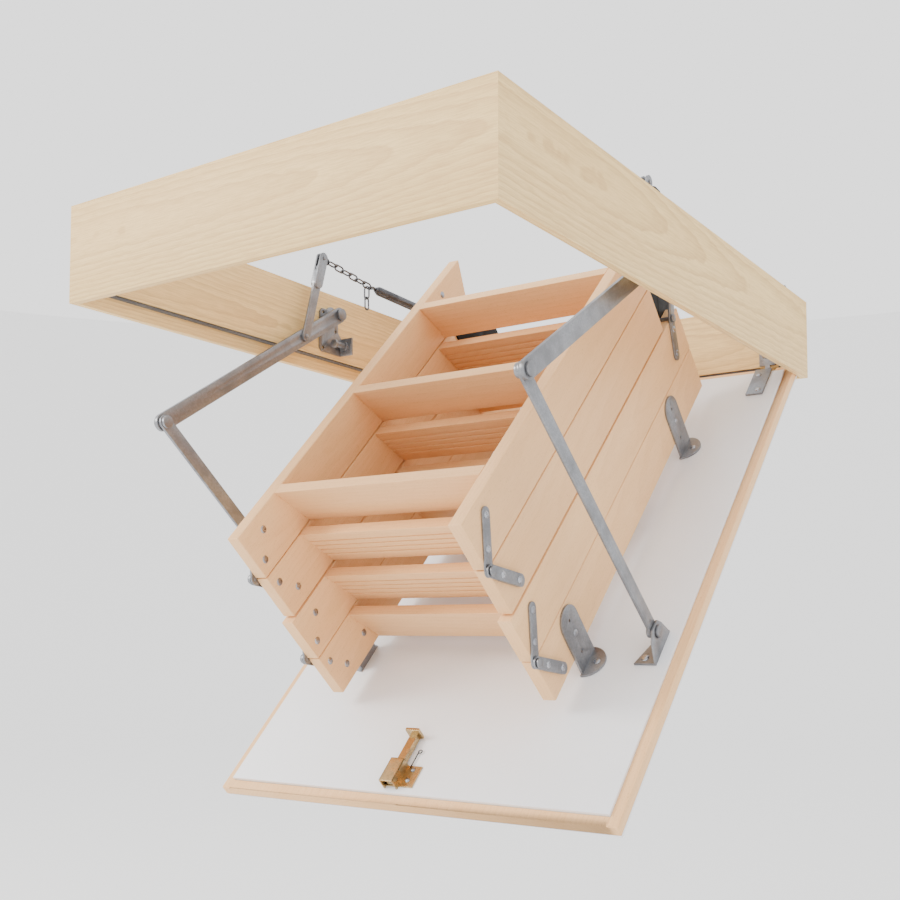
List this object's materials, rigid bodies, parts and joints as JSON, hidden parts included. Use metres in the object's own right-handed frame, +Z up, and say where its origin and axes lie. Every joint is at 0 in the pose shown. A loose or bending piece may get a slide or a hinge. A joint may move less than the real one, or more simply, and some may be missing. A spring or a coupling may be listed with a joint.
{
  "type": "attic ladder",
  "caption": "Folding wooden attic ladder in a ceiling frame: hinged white hatch, stacked ladder sections, sprung steel arms and a brass latch.",
  "frame": {"origin": "centre of the ceiling opening, in the plane of the frame's lower rim", "axes": "+Z up, +Y towards the hinge end of the frame, +X across the ladder"},
  "size_m": [0.6, 0.9, 0.7969],
  "materials": {
    "frame_wood": "satin",
    "beech": "satin",
    "white_board": "satin",
    "foam": "matte",
    "zinc_steel": "satin",
    "black_steel": "satin",
    "spring_steel": "satin",
    "brass": "satin",
    "seal_rubber": "matte"
  },
  "bodies": {
    "frame": {"frame_wall_left": "frame_wood", "frame_wall_right": "frame_wood", "frame_wall_hinge_end": "frame_wood", "frame_wall_free_end": "frame_wood", "frame_dowels": "beech", "frame_seal": "seal_rubber", "latch_strike": "zinc_steel", "hatch_hinge_plates": "zinc_steel", "hatch_hinge_pins": "zinc_steel", "frame_screws": "zinc_steel", "arm_plates": "zinc_steel", "stop_bolts": "zinc_steel", "arm_pivot_pins": "zinc_steel", "spring_anchors": "zinc_steel"},
    "hatch": {"hatch_hinge_leaves": "zinc_steel", "hatch_rim": "beech", "hatch_outer_board": "white_board", "hatch_insulation": "foam", "hatch_inner_board": "white_board", "hatch_screws": "zinc_steel", "stringer_d_left": "beech", "stringer_d_right": "beech", "treads_d": "beech", "hinge_leaves_d": "zinc_steel", "hinge_screws_d": "zinc_steel", "fold_pins_cd": "zinc_steel", "ladder_brackets": "zinc_steel", "arm_feet": "zinc_steel", "arm_foot_pins": "zinc_steel", "latch_housing": "brass"},
    "latch": {"latch_bolt": "brass"},
    "section_c": {"stringer_c_left": "beech", "stringer_c_right": "beech", "treads_c": "beech", "hinge_leaves_c": "zinc_steel", "hinge_screws_c": "zinc_steel", "upper_hinge_straps": "zinc_steel", "fold_pins_bc": "zinc_steel"},
    "section_b": {"stringer_b_left": "beech", "stringer_b_right": "beech", "treads_b": "beech", "hinge_leaves_b": "zinc_steel", "hinge_screws_b": "zinc_steel", "upper_hinge_plates": "black_steel", "fold_pins_ab": "zinc_steel"},
    "section_a": {"stringer_a_left": "beech", "stringer_a_right": "beech", "treads_a": "beech", "hinge_leaves_a": "zinc_steel", "hinge_screws_a": "zinc_steel"},
    "upper_arms": {"upper_arms": "zinc_steel", "levers": "zinc_steel", "lever_pins": "zinc_steel", "elbow_nuts": "zinc_steel"},
    "lower_arms": {"lower_arms": "zinc_steel", "elbow_bolts": "zinc_steel"},
    "chains": {"chain_left": "spring_steel", "chain_right": "spring_steel"},
    "springs": {"pull_springs": "spring_steel"}
  },
  "joints": [
    {"name": "hatch_hinge", "type": "hinge", "parent": "frame", "child": "hatch", "pos_m": [0, 0.429, 0.002], "axis": [1, 0, 0], "range_deg": [-44.5, 15.5]},
    {"name": "latch_slide", "type": "slide", "parent": "hatch", "child": "latch", "axis": [0, -0.7133, -0.7009], "range_m": [0, 0.019]},
    {"name": "fold_c_on_d", "type": "hinge", "parent": "hatch", "child": "section_c", "pos_m": [0, -0.16589, -0.42444], "axis": [1, 0, 0], "range_deg": [0, 45]},
    {"name": "fold_b_on_c", "type": "hinge", "parent": "section_c", "child": "section_b", "pos_m": [0, 0.2297, 0.06286], "axis": [-1, 0, 0], "range_deg": [0, 140]},
    {"name": "fold_a_on_b", "type": "hinge", "parent": "section_b", "child": "section_a", "pos_m": [0, -0.26443, -0.32416], "axis": [1, 0, 0], "range_deg": [0, 55]},
    {"name": "upper_arm_pivot", "type": "hinge", "parent": "frame", "child": "upper_arms", "pos_m": [0, 0.0045, 0.0835], "axis": [1, 0, 0], "range_deg": [-77.93, 27.47]},
    {"name": "lower_arm_pivot", "type": "hinge", "parent": "hatch", "child": "lower_arms", "pos_m": [0, -0.03263, -0.38855], "axis": [1, 0, 0], "range_deg": [-5.99, 16.25]},
    {"name": "chain_swing", "type": "hinge", "parent": "upper_arms", "child": "chains", "pos_m": [0, -0.041, 0.1567], "axis": [1, 0, 0], "range_deg": [-35.99, 102.41]},
    {"name": "spring_swing", "type": "hinge", "parent": "frame", "child": "springs", "pos_m": [0, 0.412, 0.131], "axis": [1, 0, 0], "range_deg": [-1.27, 2.73], "deforming": ["pull_springs"]}
  ],
  "couplings": [
    {"joint": "upper_arm_pivot", "follows": "hatch_hinge", "ratio": 1.74},
    {"joint": "lower_arm_pivot", "follows": "hatch_hinge", "ratio": -0.354},
    {"joint": "chain_swing", "follows": "hatch_hinge", "ratio": -2.29},
    {"joint": "spring_swing", "follows": "hatch_hinge", "ratio": -0.05}
  ]
}
